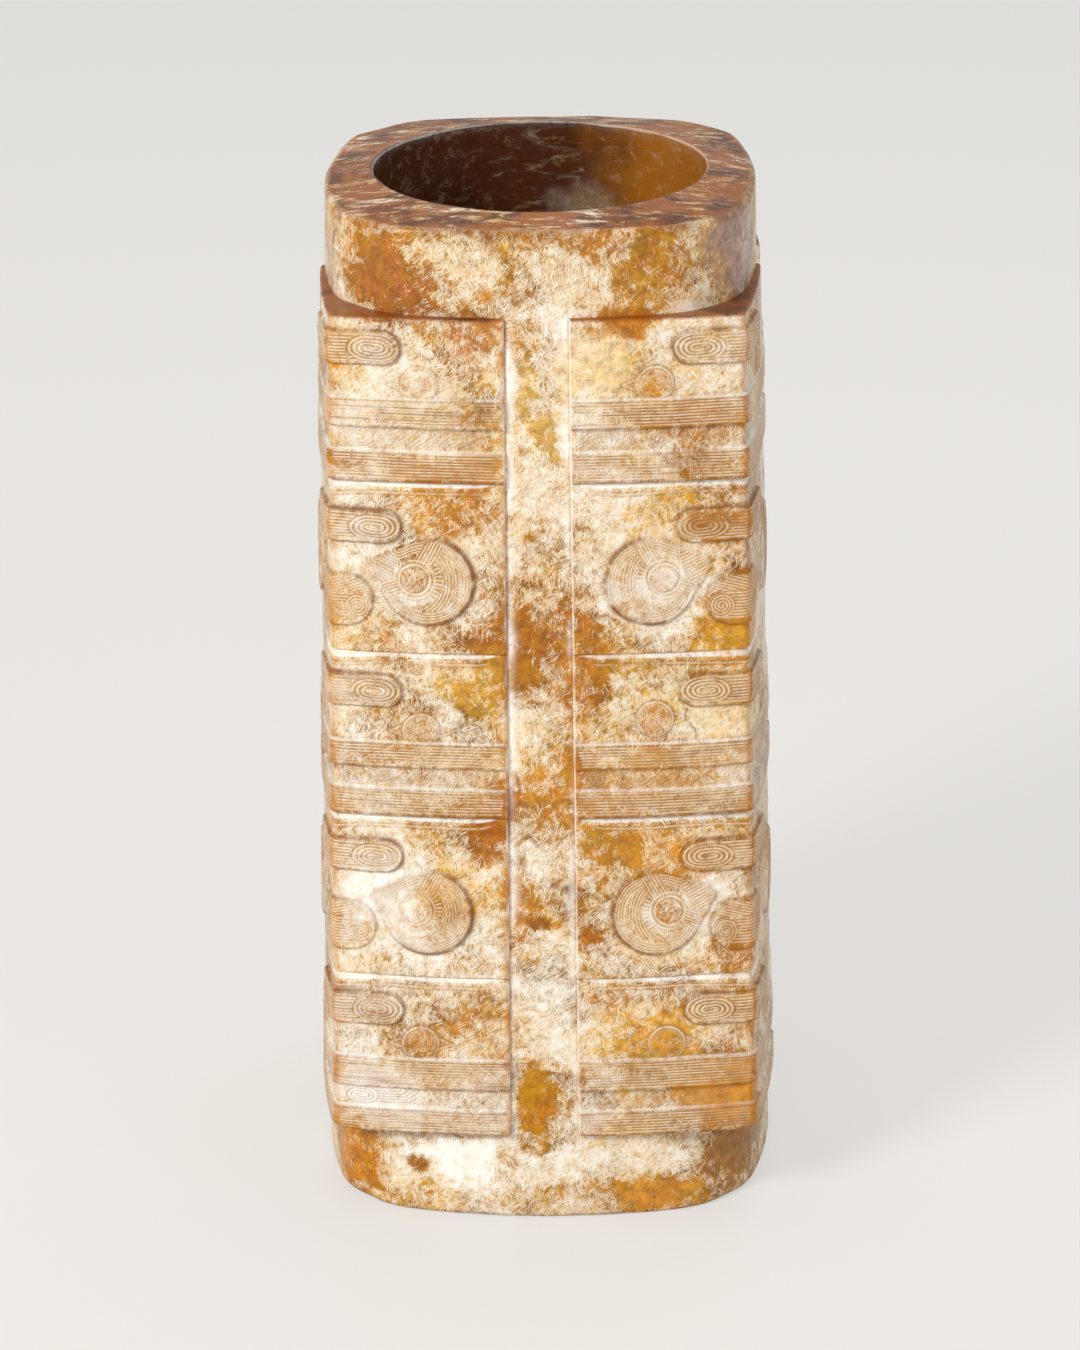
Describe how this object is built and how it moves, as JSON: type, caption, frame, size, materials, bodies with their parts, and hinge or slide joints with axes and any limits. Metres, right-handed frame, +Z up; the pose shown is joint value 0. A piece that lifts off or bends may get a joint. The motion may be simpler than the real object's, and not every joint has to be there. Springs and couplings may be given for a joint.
{
  "type": "cong tube",
  "caption": "Square jade cong with a round bore, end collars and tiered corner blocks carved with masks.",
  "frame": {"origin": "middle of the foot, on the bore's axis, at the surface that the stone stands on", "axes": "+Z up along the bore to the rim; +X to the right and -Y towards the viewer of the front face"},
  "size_m": [0.0822, 0.0822, 0.182],
  "materials": {
    "collar_stone": "polished",
    "tube_stone": "polished",
    "block_stone": "polished"
  },
  "bodies": {
    "root": {"lower_collar": "collar_stone", "tube_shaft": "tube_stone", "upper_collar": "collar_stone", "tier_1_back_right": "block_stone", "tier_1_back_left": "block_stone", "tier_1_front_left": "block_stone", "tier_1_front_right": "block_stone", "tier_2_back_right": "block_stone", "tier_2_back_left": "block_stone", "tier_2_front_left": "block_stone", "tier_2_front_right": "block_stone", "tier_3_back_right": "block_stone", "tier_3_back_left": "block_stone", "tier_3_front_left": "block_stone", "tier_3_front_right": "block_stone", "tier_4_back_right": "block_stone", "tier_4_back_left": "block_stone", "tier_4_front_left": "block_stone", "tier_4_front_right": "block_stone", "tier_5_back_right": "block_stone", "tier_5_back_left": "block_stone", "tier_5_front_left": "block_stone", "tier_5_front_right": "block_stone"}
  },
  "joints": []
}
